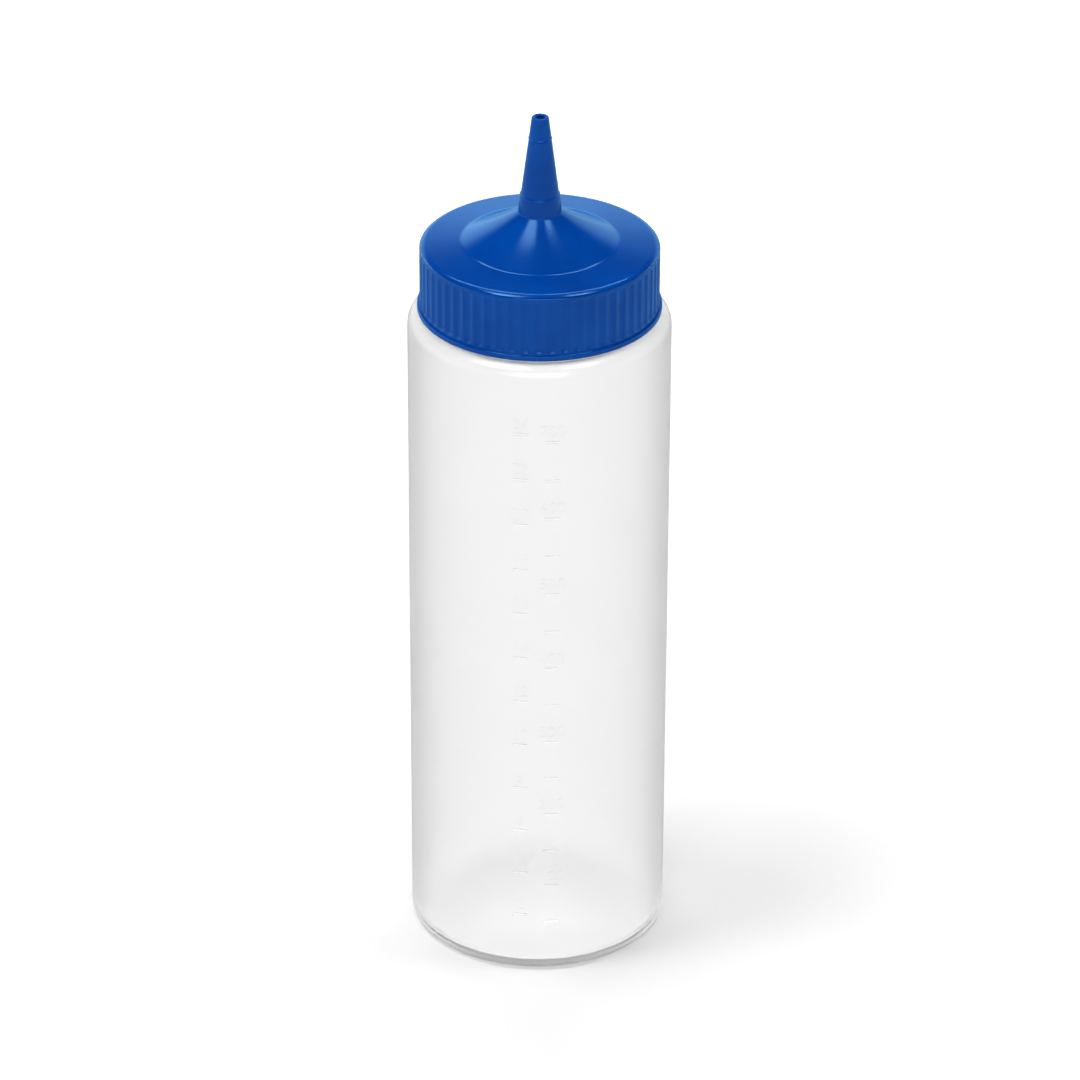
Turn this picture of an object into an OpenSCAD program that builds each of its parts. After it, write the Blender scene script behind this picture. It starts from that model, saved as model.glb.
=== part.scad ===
// Squeeze bottle for sauce, with a wide screw cap that carries an open cone nozzle.
// Millimetres, +Z up. The origin is the middle of the base, on the surface that the bottle stands on.
// The front, with the two scales, faces -Y.

/* [Body] */
// Outside diameter of the body
body_d = 75; // [65:0.5:90]
// Height of the flat shoulder above the base
shoulder_z = 199; // [190:1:260]
// Wall of the body and the shoulder
body_wall = 1.4; // [0.8:0.1:2]
// Outside radius of the corner under the shoulder
shoulder_r = 4.5; // [3:0.25:6]
// Radius of the corner round the base
base_r = 2.5; // [2:0.25:3.5]
// Thickness of the base
base_wall = 2.4; // [1.5:0.1:3.5]
// Height of the hollow under the base
push_up_h = 6; // [3:0.5:8]
// Width of the flat ring that the bottle stands on
landing_w = 3.5; // [2:0.5:5]

/* [Neck] */
// Width of the shoulder, from the side of the body in to the neck
shoulder_w = 7.5; // [7:0.25:10]
// Wall of the neck
neck_wall = 2; // [1.5:0.1:2.5]
// Height of the neck above the shoulder
neck_h = 17.4; // [16:0.1:22]
// Radius of the rounded outer edge of the neck's rim
rim_r = 0.5; // [0.2:0.1:0.8]
// Radius of the fillet between the neck and the shoulder
neck_fillet = 1; // [0.5:0.1:1.4]

/* [Thread] */
// Rise of the thread in one turn
thread_pitch = 5; // [4.5:0.1:5.5]
// Turns of the ridge on the neck, and of the one in the cap
thread_turns = 1.5; // [1:0.25:1.75]
// How far each ridge stands out of its wall
thread_h = 1.3; // [1:0.1:1.5]
// Width of a ridge at its wall
thread_root_w = 2.3; // [2:0.1:2.4]
// Width of a ridge at its crest
thread_crest_w = 0.9; // [0.6:0.1:1.2]
// Height of the lower end of the neck's ridge above the shoulder, at its middle
thread_low = 6; // [5:0.25:6.5]
// Clearance between a ridge's crest and the wall that it faces
thread_gap = 0.6; // [0.4:0.1:1]
// Clearance between the flanks that meet when the cap is tight
flank_gap = 0.3; // [0.2:0.05:0.4]

/* [Sealing ring] */
// Thickness of the sealing ring
seal_t = 1.2; // [0.8:0.1:2]
// Clearance of the sealing ring inside the skirt and round the plug
seal_gap = 0.3; // [0.2:0.05:0.5]

/* [Cap] */
// Wall of the skirt behind its flutes
skirt_wall = 1.6; // [1.2:0.1:2.2]
// Clearance between the skirt's lower rim and the shoulder
skirt_gap = 0.6; // [0.3:0.1:1.2]
// How far the flange round the lower rim stands out of the skirt
flange_out = 0.8; // [0.5:0.1:1.2]
// Height of the flange
flange_h = 1.7; // [1.5:0.1:3]
// Radius of the flange's edges
flange_r = 0.5; // [0.2:0.1:0.7]
// Number of flutes round the skirt
flute_n = 60; // [40:2:80]
// Depth of the flutes
flute_h = 0.45; // [0.3:0.05:0.7]
// Width of the ridge between two flutes
ridge_w = 0.4; // [0.2:0.1:1]
// Height of the bare wall between the flange and the flutes
foot_h = 0.3; // [0.2:0.1:4]
// Distance from the top of the flutes up to the edge of the deck
flute_top_gap = 1.3; // [1.3:0.1:4]
// Thickness of the deck over the neck's rim, at its outer edge
deck_t = 1.8; // [1.2:0.1:2.5]
// Rise of the deck from its outer edge to the dome
deck_rise = 1; // [0.6:0.1:2.5]
// Radius of the deck's outer edge
deck_edge_r = 1.2; // [0.8:0.1:1.2]
// Wall of the dome
cap_wall = 1.6; // [1.2:0.1:2]
// Width of the deck, from the side of the skirt in to the dome
deck_w = 11.6; // [8:0.1:13]
// Height of the dome, from the deck to the nozzle's collar
dome_h = 9.1; // [6:0.1:14]
// Depth of the plug that reaches into the neck
plug_h = 3; // [2:0.5:4]
// Wall of the plug
plug_wall = 1.2; // [0.8:0.1:1.6]
// Clearance between the plug and the neck
plug_gap = 0.3; // [0.2:0.05:0.5]

/* [Nozzle] */
// Diameter of the collar at the foot of the nozzle
collar_d = 12.2; // [11.5:0.1:14]
// Diameter of the collar at its top
collar_top_d = 11.5; // [11:0.1:13]
// Height of the collar
collar_h = 5.8; // [3:0.1:7]
// Diameter of the cone above the collar
cone_d = 10.6; // [9.5:0.1:11]
// Diameter of the tip
tip_d = 4.8; // [4.4:0.1:6]
// Height of the cone
cone_h = 23.2; // [16:0.1:30]
// Wall of the cone at its foot
nozzle_wall = 1.5; // [1.2:0.1:2]
// Radius of the tip's rounded edge
tip_r = 0.5; // [0.3:0.1:0.6]
// Height of the fine bead above the foot of the cone
bead_z = 16.7; // [10:0.1:20]
// How far the bead stands out
bead_out = 0.15; // [0.1:0.05:0.4]
// Height of the bead
bead_h = 0.5; // [0.3:0.1:1]
// Diameter of the outlet
outlet_d = 2.7; // [2:0.1:3]
// Length of the straight part of the outlet
outlet_l = 4; // [3:0.25:6]
// Size of the chamfer round the outlet
outlet_chamfer = 0.35; // [0.1:0.05:0.4]

/* [Scales] */
// Volume between two marks of the metric scale, in ml
metric_step = 50; // [25:25:100]
// Volume between two marks of the fluid ounce scale, in ml
ounce_step = 59.15; // [29.57:29.58:118.3]
// Bare height left over both scales, under the shoulder's corner
scale_top_gap = 12; // [5:0.5:40]
// Angle of the metric scale from the front
metric_a = 6; // [4:0.5:20]
// Angle of the fluid ounce scale from the front
ounce_a = -8; // [-20:0.5:-4]
// Length of a mark along the wall
mark_w = 4.4; // [2:0.1:6]
// Thickness of a mark's line
mark_t = 0.7; // [0.4:0.1:1.2]
// How far a mark stands out of the wall
mark_h = 0.25; // [0.1:0.05:0.5]

/* [Hidden] */
$fn = 96;
// Overlap of pieces of one solid, and overshoot of cuts
sink = 0.4;

body_r = body_d / 2;
cavity_r = body_r - body_wall;
cavity_top_z = shoulder_z - body_wall;
neck_r = body_r - shoulder_w;
mouth_r = neck_r - neck_wall;
rim_z = shoulder_z + neck_h;

// The hollow under the base is part of a sphere, and the floor above it keeps the base's thickness
dish_r = body_r - base_r - landing_w;
dish_sphere_r = (dish_r * dish_r + push_up_h * push_up_h) / (2 * push_up_h);
dish_sphere_z = push_up_h - dish_sphere_r;

// Volume that the raised floor takes from the cavity, which lifts both scales
floor_sphere_r = dish_sphere_r + base_wall;
floor_cap_v = PI * push_up_h * push_up_h * (3 * floor_sphere_r - push_up_h) / 3;
cavity_area = PI * cavity_r * cavity_r;
scale_zero_z = base_wall + floor_cap_v / cavity_area;
metric_pitch = metric_step * 1000 / cavity_area;
ounce_pitch = ounce_step * 1000 / cavity_area;
scale_h = shoulder_z - shoulder_r - scale_top_gap - scale_zero_z;
metric_n = floor(scale_h / metric_pitch);
ounce_n = floor(scale_h / ounce_pitch);
mark_a = mark_w / body_r * 180 / PI;

// The cap is built outwards from the neck
skirt_in_r = neck_r + thread_h + thread_gap;
skirt_r = skirt_in_r + skirt_wall + flute_h;
flange_out_r = skirt_r + flange_out;
cap_z = shoulder_z + skirt_gap;
land_z = rim_z + seal_t;
edge_z = land_z + deck_t;
crease_z = edge_z + deck_rise;
flute_z = cap_z + flange_h + foot_h;
flute_top_z = edge_z - flute_top_gap;
plug_r = mouth_r - plug_gap;
plug_in_r = plug_r - plug_wall;

// A flute is cut by a circle through its bottom and its two edges, each half a ridge from its neighbour
flute_in_r = skirt_r - flute_h;
flute_edge_a = 180 / flute_n - ridge_w / 2 / skirt_r * 180 / PI;
flute_mid_r = (skirt_r * skirt_r - flute_in_r * flute_in_r)
    / (2 * (skirt_r * cos(flute_edge_a) - flute_in_r));

dome_r = skirt_r - deck_w;
collar_z = crease_z + dome_h;
collar_top_z = collar_z + collar_h;
tip_z = collar_top_z + cone_h;
dome_a = atan2(dome_h, dome_r - collar_d / 2);
bore_r = cone_d / 2 - nozzle_wall;
outlet_r = outlet_d / 2;

// Inner corner of the deck and the dome, one wall inside the outer one
dome_in_r = dome_r - cap_wall * sin(dome_a);
dome_in_z = crease_z - cap_wall * cos(dome_a);

// Steps of a thread's ridge, and the angle over which its ends run out
ridge_step_a = 10;
ridge_fade_a = 30;
ridge_fade_low = 0.15;
// Half a ridge's width where its crest passes the foot of the other, and the height between the two
ridge_meet_w = thread_root_w / 2
    - (thread_root_w - thread_crest_w) / 2 * thread_gap / thread_h;
cap_thread_drop = ridge_meet_w + thread_crest_w / 2 + flank_gap;

// Right half of a slab from z0 to z1, with its two outer corners rounded
module half_slab(r, z0, z1, r0, r1) {
    translate([0, z0 + r0]) square([r, z1 - z0 - r0 - r1]);
    translate([0, z0]) square([r - r0, r0]);
    translate([0, z1 - r1]) square([r - r1, r1]);
    translate([r - r0, z0 + r0]) circle(r0);
    translate([r - r1, z1 - r1]) circle(r1);
}

// How far a ridge has risen at an angle from its start
function ridge_fade(a, end_a) =
    min(1, ridge_fade_low + (1 - ridge_fade_low) * min(a, end_a - a) / ridge_fade_a);

// The four corners of a ridge at an angle. side is 1 on a shaft and -1 in a hole
function ridge_section(wall_r, side, z, a, end_a) =
    let (
        up = ridge_fade(a, end_a),
        foot_r = wall_r - side * sink,
        crest_r = foot_r + side * (thread_h + sink) * up,
        foot_w = thread_root_w / 2 + (thread_root_w - thread_crest_w) / 2 * sink / thread_h,
        crest_w = foot_w + (thread_crest_w / 2 - foot_w) * up,
        at_z = z + thread_pitch * a / 360,
        around = [cos(a), sin(a)]
    )
    [
        [foot_r * around.x, foot_r * around.y, at_z - foot_w],
        [crest_r * around.x, crest_r * around.y, at_z - crest_w],
        [crest_r * around.x, crest_r * around.y, at_z + crest_w],
        [foot_r * around.x, foot_r * around.y, at_z + foot_w]
    ];

// Right-hand ridge, whose middle starts at height z at the angle 0
module thread_ridge(wall_r, side, z) {
    end_a = thread_turns * 360;
    steps = ceil(end_a / ridge_step_a);
    sections = [for (i = [0:steps]) ridge_section(wall_r, side, z, end_a * i / steps, end_a)];
    corners = [for (s = sections) each s];
    sides = [
        for (i = [0:steps - 1])
            for (k = [0:3])
                let (
                    a = 4 * i + k,
                    b = 4 * i + (k + 1) % 4
                )
                each [[a, b, a + 4], [b, b + 4, a + 4]]
    ];
    last = 4 * steps;
    ends = [[0, 2, 1], [0, 3, 2], [last, last + 1, last + 2], [last, last + 2, last + 3]];
    faces = concat(sides, ends);
    turned = [for (f = faces) [f[0], f[2], f[1]]];
    polyhedron(points = corners, faces = side > 0 ? faces : turned, convexity = 8);
}

// Half section of the bottle, without its thread
module bottle_section() {
    difference() {
        union() {
            half_slab(body_r, 0, shoulder_z, base_r, shoulder_r);
            half_slab(neck_r, shoulder_z - body_wall, rim_z, rim_r, rim_r);
            translate([neck_r, shoulder_z]) difference() {
                translate([-sink, -sink]) square(neck_fillet + sink);
                translate([neck_fillet, neck_fillet]) circle(neck_fillet);
            }
        }
        difference() {
            half_slab(cavity_r, base_wall, cavity_top_z, base_r, shoulder_r - body_wall);
            translate([0, dish_sphere_z]) circle(floor_sphere_r);
        }
        translate([0, cavity_top_z - shoulder_r]) square([mouth_r, rim_z - cavity_top_z + shoulder_r + sink]);
        translate([0, dish_sphere_z]) circle(dish_sphere_r);
    }
}

// One raised line of a scale, centred on an angle from the front
module mark(a, z) {
    rotate(a - 90 - mark_a / 2)
        rotate_extrude(angle = mark_a)
            translate([body_r - sink, z - mark_t / 2])
                square([sink + mark_h, mark_t]);
}

module scales() {
    for (i = [1:metric_n]) mark(metric_a, scale_zero_z + metric_pitch * i);
    for (i = [1:ounce_n]) mark(ounce_a, scale_zero_z + ounce_pitch * i);
}

module bottle() {
    color("#eef0f0", 0.8) {
        rotate_extrude() intersection() {
            bottle_section();
            square([body_r, rim_z]);
        }
        thread_ridge(neck_r, 1, shoulder_z + thread_low);
        scales();
    }
}

module sealing_ring() {
    color("#f4f4f2")
        translate([0, 0, rim_z]) difference() {
            cylinder(h = seal_t, r = skirt_in_r - seal_gap);
            translate([0, 0, -sink]) cylinder(h = seal_t + 2 * sink, r = plug_r + seal_gap);
        }
}

// Half section of the cap's outside, without its flutes
module cap_outside() {
    half_slab(flange_out_r, cap_z, cap_z + flange_h, flange_r, flange_r);
    half_slab(skirt_r, cap_z + flange_r, edge_z, flange_r, deck_edge_r);
    polygon([
        [0, edge_z - deck_edge_r],
        [skirt_r - deck_edge_r, edge_z - deck_edge_r],
        [skirt_r - deck_edge_r, edge_z],
        [dome_r, crease_z],
        [collar_d / 2, collar_z],
        [0, collar_z]
    ]);
    polygon([
        [0, crease_z],
        [collar_d / 2, crease_z],
        [collar_d / 2, collar_z],
        [collar_top_d / 2, collar_top_z],
        [0, collar_top_z]
    ]);
    polygon([
        [0, collar_z],
        [cone_d / 2, collar_z],
        [cone_d / 2, collar_top_z],
        [tip_d / 2, tip_z - tip_r],
        [0, tip_z - tip_r]
    ]);
    translate([0, tip_z - 2 * tip_r]) square([tip_d / 2 - tip_r, 2 * tip_r]);
    translate([tip_d / 2 - tip_r, tip_z - tip_r]) circle(tip_r);
    bead_r = cone_d / 2 + (tip_d - cone_d) / 2 * bead_z / (cone_h - tip_r);
    translate([0, collar_top_z + bead_z - bead_h / 2]) square([bead_r + bead_out, bead_h]);
}

// Half section of the space inside the cap, from its lower rim to the outlet
module cap_inside() {
    translate([0, cap_z - sink]) square([skirt_in_r, land_z - cap_z + sink]);
    polygon([
        [0, land_z - sink],
        [plug_in_r, land_z - sink],
        [plug_in_r, dome_in_z - (crease_z - edge_z) * (plug_in_r - dome_r) / (skirt_r - dome_r)],
        [dome_in_r, dome_in_z],
        [bore_r, dome_in_z + (dome_in_r - bore_r) * tan(dome_a)],
        [bore_r, collar_top_z],
        [outlet_r, tip_z - outlet_l],
        [outlet_r, tip_z - outlet_chamfer],
        [outlet_r + outlet_chamfer + sink, tip_z + sink],
        [0, tip_z + sink]
    ]);
}

module flutes() {
    translate([0, 0, flute_z]) linear_extrude(flute_top_z - flute_z)
        for (i = [0:flute_n - 1])
            rotate(i * 360 / flute_n)
                translate([flute_mid_r, 0])
                    circle(flute_mid_r - flute_in_r);
}

module screw_cap() {
    color("#00449a") {
        difference() {
            rotate_extrude() {
                difference() {
                    cap_outside();
                    cap_inside();
                }
                translate([plug_in_r, land_z - plug_h]) square([plug_wall, plug_h + sink]);
            }
            flutes();
        }
        thread_ridge(skirt_in_r, -1, shoulder_z + thread_low - cap_thread_drop);
    }
}

bottle();
sealing_ring();
screw_cap();
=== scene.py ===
from math import atan2, ceil, cos, hypot, pi, radians, sin, tan

import bmesh
import bpy
from bpy.props import FloatProperty, FloatVectorProperty, IntProperty, PointerProperty
from bpy.types import Operator, Panel, PropertyGroup
from mathutils import Matrix, Vector


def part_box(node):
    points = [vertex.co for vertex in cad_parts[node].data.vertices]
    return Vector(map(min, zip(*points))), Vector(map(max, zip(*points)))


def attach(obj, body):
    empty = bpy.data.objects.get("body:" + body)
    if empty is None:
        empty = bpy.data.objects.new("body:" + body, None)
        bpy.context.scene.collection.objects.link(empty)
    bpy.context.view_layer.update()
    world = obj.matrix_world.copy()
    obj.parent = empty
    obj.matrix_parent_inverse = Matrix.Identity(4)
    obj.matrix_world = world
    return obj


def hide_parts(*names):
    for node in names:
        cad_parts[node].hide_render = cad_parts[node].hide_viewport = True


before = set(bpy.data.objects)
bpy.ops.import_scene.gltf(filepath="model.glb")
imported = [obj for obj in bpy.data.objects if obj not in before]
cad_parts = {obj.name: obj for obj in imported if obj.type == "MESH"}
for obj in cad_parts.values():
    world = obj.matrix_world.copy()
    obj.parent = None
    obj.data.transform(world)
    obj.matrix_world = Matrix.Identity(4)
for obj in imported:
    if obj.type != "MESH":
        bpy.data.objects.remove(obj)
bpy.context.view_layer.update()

bl_info = {
    "name": "Squeeze bottle",
    "version": (1, 0, 0),
    "blender": (4, 5, 0),
    "location": "3D View > Sidebar > Squeeze bottle",
    "description": "Makes a sauce bottle with raised scales, its screw cap with a nozzle, and a plain stage",
    "category": "Object",
}

MM = 0.001

BOTTLE_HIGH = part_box("bottle")[1]
RING_LOW, RING_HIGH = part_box("sealing_ring")
CAP_LOW, CAP_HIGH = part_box("screw_cap")

# How far a raised detail is sunk into its wall, so that the two unite cleanly
MARK_SINK = 0.2 * MM
RIDGE_SINK = 0.4 * MM
# A point this near to a round wall counts as on it
ON_WALL = 0.02 * MM
# An edge that turns more than this is shaded sharp
SHARP_ANGLE = radians(38)


def linear(hex_colour):
    """Linear red, green, blue and alpha of an sRGB hex colour."""
    parts = [int(hex_colour[i:i + 2], 16) / 255 for i in (1, 3, 5)]
    return (*[p / 12.92 if p <= 0.04045 else ((p + 0.055) / 1.055) ** 2.4 for p in parts], 1.0)


def size(name, description, millimetres):
    """A length that the user can change, given in millimetres."""
    return FloatProperty(
        name=name, description=description, default=millimetres * MM, min=0.0, unit="LENGTH", precision=5
    )


def tint(name, description, hex_colour):
    """A colour that the user can change, given as sRGB hex."""
    return FloatVectorProperty(
        name=name, description=description, default=linear(hex_colour), min=0.0, max=1.0,
        size=4, subtype="COLOR",
    )


class BottleSizes(PropertyGroup):
    """Sizes of the bottle's body, shoulder, neck and base"""
    body_r: size("Body radius", "Outside radius of the body", BOTTLE_HIGH.x / MM)
    shoulder_z: size("Shoulder", "Height of the flat shoulder", 199)
    body_wall: size("Wall", "Wall of the body and the shoulder", 1.4)
    shoulder_r: size("Shoulder corner", "Outside radius of the corner under the shoulder", 4.5)
    base_r: size("Base corner", "Radius of the corner round the base", 2.5)
    base_wall: size("Base", "Thickness of the base", 2.4)
    push_up_h: size("Push-up", "Height of the hollow under the base", 6)
    landing_w: size("Landing", "Width of the flat ring that the bottle stands on", 3.5)
    shoulder_w: size("Shoulder width", "Width of the shoulder, in to the neck", 7.5)
    neck_wall: size("Neck wall", "Wall of the neck", 2)
    rim_z: size("Rim", "Height of the neck's rim", BOTTLE_HIGH.z / MM)
    neck_fillet: size("Neck fillet", "Fillet between the neck and the shoulder", 1)
    edge_r: size("Edges", "Radius of the rim's edges and of the edge under the base", 0.5)


class ThreadSizes(PropertyGroup):
    """Sizes of the thread's ridge on the neck and of its partner in the cap"""
    pitch: size("Pitch", "Rise of the thread in one turn", 5)
    turns: FloatProperty(name="Turns", description="Turns of each ridge", default=1.5, min=0.5, max=3)
    height: size("Ridge height", "How far a ridge stands out of its wall", 1.3)
    root_w: size("Root width", "Width of a ridge at its wall", 2.3)
    crest_w: size("Crest width", "Width of a ridge at its crest", 0.9)
    low: size("Start", "Height of the neck's ridge above the shoulder, at its lower end", 6)
    drop: size("Drop", "How far the cap's ridge lies below the neck's", 1.577)
    fade_a: FloatProperty(
        name="Run-out", description="Angle over which a ridge's ends run out", default=radians(30),
        min=radians(5), max=radians(90), subtype="ANGLE",
    )


class ScaleSizes(PropertyGroup):
    """Sizes and places of the raised marks and numbers"""
    zero_z: size("Zero", "Height that both scales start from", 4.783)
    metric_pitch: size("Metric step", "Height of 50 ml in the bottle", 12.213)
    metric_n: IntProperty(name="Metric marks", description="Number of 50 ml marks", default=14, min=1)
    metric_a: FloatProperty(
        name="Metric angle", description="Angle of the metric scale from the front", default=radians(6),
        subtype="ANGLE",
    )
    ounce_pitch: size("Ounce step", "Height of two fluid ounces in the bottle", 14.448)
    ounce_n: IntProperty(name="Ounce marks", description="Number of two ounce marks", default=12, min=1)
    ounce_a: FloatProperty(
        name="Ounce angle", description="Angle of the fluid ounce scale from the front",
        default=radians(-8), subtype="ANGLE",
    )
    mark_w: size("Mark length", "Length of a mark along the wall", 4.4)
    mark_t: size("Mark width", "Width of a mark's line", 0.7)
    mark_h: size("Relief", "How far marks and numbers stand out of the wall", 0.12)
    digit_h: size("Digit height", "Height of the numbers", 3.6)
    digit_gap: size("Digit gap", "Distance from a mark up to its number", 1.6)


class CapSizes(PropertyGroup):
    """Sizes of the screw cap from its flange up to the nozzle's tip"""
    low_z: size("Lower rim", "Height of the skirt's lower rim", CAP_LOW.z / MM)
    skirt_in_r: size("Skirt inside", "Inside radius of the skirt", 31.9)
    skirt_r: size("Skirt", "Outside radius of the skirt", 33.95)
    flange_r: size("Flange", "Radius of the flange round the lower rim", CAP_HIGH.x / MM)
    flange_h: size("Flange height", "Height of the flange", 1.7)
    flute_n: IntProperty(name="Flutes", description="Number of flutes round the skirt", default=60, min=12)
    flute_h: size("Flute depth", "Depth of the flutes", 0.45)
    ridge_w: size("Ridge", "Width of the ridge between two flutes", 0.4)
    flute_z: size("Flute foot", "Height of the flutes' rounded lower ends", 201.6)
    flute_top_z: size("Flute top", "Height of the flutes' rounded upper ends", 218.1)
    flute_end: size("Flute end", "Height of the rounded end of a flute", 1.3)
    edge_z: size("Deck edge", "Height of the deck at its outer edge", 219.4)
    crease_z: size("Deck crease", "Height of the crease between the deck and the dome", 220.4)
    dome_r: size("Dome", "Radius of the dome at its foot", 22.35)
    dome_dip: size("Dome dip", "How far the dome's slope dips below a straight cone", 0.3)
    collar_z: size("Collar foot", "Height of the collar's foot", 229.5)
    collar_r: size("Collar", "Radius of the collar at its foot", 6.1)
    collar_top_r: size("Collar top", "Radius of the collar at its top", 5.75)
    cone_z: size("Cone foot", "Height of the cone's foot", 235.3)
    cone_r: size("Cone", "Radius of the cone at its foot", 5.3)
    tip_r: size("Tip", "Outside radius of the tip", 2.4)
    tip_z: size("Tip height", "Height of the tip", CAP_HIGH.z / MM)
    bead_z: size("Bead", "Height of the fine bead near the tip", 252)
    bead_out: size("Bead size", "How far the bead stands out", 0.12)
    outlet_r: size("Outlet", "Radius of the outlet", 1.35)
    bore_r: size("Bore", "Radius of the bore at the foot of the cone", 3.8)
    wall: size("Cap wall", "Wall of the dome", 1.6)
    land_z: size("Land", "Height of the land that presses on the sealing ring", RING_HIGH.z / MM)
    plug_r: size("Plug", "Outside radius of the plug that reaches into the neck", 27.7)
    plug_wall: size("Plug wall", "Wall of the plug", 1.2)
    plug_h: size("Plug height", "How far the plug reaches into the neck", 3)


class Finishes(PropertyGroup):
    """Colours of the plastics and of the floor"""
    bottle: tint("Bottle", "Natural polyethylene of the bottle", "#FFFFFF")
    bottle_cloud: tint("Bottle cloud", "Denser, milkier parts of the bottle", "#FEFEFE")
    cap: tint("Cap", "Blue polyethylene of the cap", "#003E93")
    cap_flow: tint("Cap flow", "Blue where the pigment is denser", "#00388A")
    cap_gloss: tint("Cap gloss", "Tint of what the cap's skin mirrors", "#8AC6EC")
    ring: tint("Sealing ring", "Silicone of the sealing ring", "#E9E7E0")
    ring_cloud: tint("Sealing ring cloud", "Silicone where it is cloudier", "#DEDBD2")
    floor: tint("Floor", "Matt white sweep under the bottle", "#F2F2F2")


# Meshes


def rounded(corners, step=radians(14), hold=0.12 * MM):
    """The outline through corners (r, z, radius), rounded off. Points beside a round keep the flats flat."""
    points = []
    for i, (r, z, radius) in enumerate(corners):
        here = Vector((r, z))
        back = Vector(corners[i - 1][:2]) - here
        ahead = Vector(corners[(i + 1) % len(corners)][:2]) - here
        if radius == 0:
            points.append(tuple(here))
            continue
        turn = pi - back.angle(ahead)
        reach = radius * tan(turn / 2)
        if reach > min(back.length, ahead.length) + 1e-9:
            raise ValueError(f"the corner at {r / MM:.2f}, {z / MM:.2f} mm has no room for its radius")
        start = here + back.normalized() * reach
        end = here + ahead.normalized() * reach
        centre = here + (back.normalized() + ahead.normalized()).normalized() * hypot(radius, reach)
        if back.length > reach + 3 * hold:
            points.append(tuple(start + back.normalized() * hold))
        steps = max(2, ceil(turn / step))
        spread = atan2(*((start - centre).yx))
        swing = (atan2(*((end - centre).yx)) - spread + pi) % (2 * pi) - pi
        for k in range(steps + 1):
            at = spread + swing * k / steps
            points.append((centre.x + radius * cos(at), centre.y + radius * sin(at)))
        if ahead.length > reach + 3 * hold:
            points.append(tuple(end + ahead.normalized() * hold))
    return points


def walk(ring, j, n):
    """The vertices of a ring that bound its j-th share of n."""
    if len(ring) == 1:
        return ring
    share = len(ring) // n
    return [ring[(j * share + i) % len(ring)] for i in range(share + 1)]


def lathe(outline, angles, closed=False):
    """A mesh that turns the outline (r, z) about +Z. angles(r, z) gives the angles of that point's ring."""
    vertices, faces, rings = [], [], []
    for r, z in outline:
        around = angles(r, z) if r > 1e-7 else [0.0]
        rings.append(list(range(len(vertices), len(vertices) + len(around))))
        vertices += [(r * cos(a), r * sin(a), z) for a in around]
    pairs = list(zip(rings, rings[1:]))
    if closed:
        pairs.append((rings[-1], rings[0]))
    for low, high in pairs:
        n = min(len(ring) for ring in (low, high) if len(ring) > 1)
        for j in range(n):
            faces.append(walk(low, j, n) + walk(high, j, n)[::-1])
    mesh = bpy.data.meshes.new("lathe")
    mesh.from_pydata(vertices, [], faces)
    mesh.validate()
    return mesh


def piece(name, mesh, body, slot, *nodes):
    """Makes the object of a finished mesh, and ties it to its body and the nodes it replaces. slot is not
    used.
    """
    mesh.name = name
    mesh.shade_smooth()
    mesh.set_sharp_from_angle(angle=SHARP_ANGLE)
    made = bpy.data.objects.new(name, mesh)
    bpy.context.scene.collection.objects.link(made)
    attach(made, body)
    if nodes:
        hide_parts(*nodes)
    return made


def finished(thing):
    """The plain mesh of an object with its modifiers applied. The object is removed."""
    seen = thing.evaluated_get(bpy.context.evaluated_depsgraph_get())
    mesh = bpy.data.meshes.new_from_object(seen)
    old = thing.data
    bpy.data.objects.remove(thing)
    if isinstance(old, bpy.types.Mesh):
        bpy.data.meshes.remove(old)
    return mesh


def through_tree(mesh, tree, values):
    """The mesh that a geometry tree makes of a mesh, with the tree's inputs set by name."""
    thing = bpy.data.objects.new("raw", mesh)
    bpy.context.scene.collection.objects.link(thing)
    modifier = thing.modifiers.new(tree.name, "NODES")
    modifier.node_group = tree
    for socket in tree.interface.items_tree:
        if socket.in_out == "INPUT" and socket.name in values:
            modifier[socket.identifier] = values[socket.name]
    return finished(thing)


def united(mesh, other):
    """The two closed meshes as one."""
    pair = []
    for part in (mesh, other):
        thing = bpy.data.objects.new("raw", part)
        bpy.context.scene.collection.objects.link(thing)
        pair.append(thing)
    union = pair[0].modifiers.new("union", "BOOLEAN")
    union.operation = "UNION"
    union.solver = "MANIFOLD"
    union.object = pair[1]
    made = finished(pair[0])
    bpy.data.objects.remove(pair[1])
    bpy.data.meshes.remove(other)
    speck = 0.004 * MM
    shape = bmesh.new()
    shape.from_mesh(made)
    bmesh.ops.remove_doubles(shape, verts=shape.verts, dist=speck)
    bmesh.ops.dissolve_degenerate(shape, edges=shape.edges, dist=speck)
    shape.to_mesh(made)
    shape.free()
    return made


def round_wall(mesh, wall_r):
    """Shades the faces on a round upright wall as the true cylinder, whatever is raised out of it."""
    facing_out = 0.98
    normals = []
    for face in mesh.polygons:
        outwards = Vector((face.center.x, face.center.y, 0.0)).normalized()
        for i in face.vertices:
            at = mesh.vertices[i].co
            off_wall = abs(hypot(at.x, at.y) - wall_r) > ON_WALL
            if off_wall or face.normal.dot(outwards) < facing_out:
                normals.append((0.0, 0.0, 0.0))
            else:
                normals.append(Vector((at.x, at.y, 0.0)).normalized())
    mesh.normals_split_custom_set(normals)


def joined(meshes):
    """The meshes as one, with their doubles merged."""
    shape = bmesh.new()
    for mesh in meshes:
        shape.from_mesh(mesh)
        bpy.data.meshes.remove(mesh)
    bmesh.ops.remove_doubles(shape, verts=shape.verts, dist=0.002 * MM)
    bmesh.ops.recalc_face_normals(shape, faces=shape.faces)
    made = bpy.data.meshes.new("joined")
    shape.to_mesh(made)
    shape.free()
    return made


# Node trees


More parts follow.
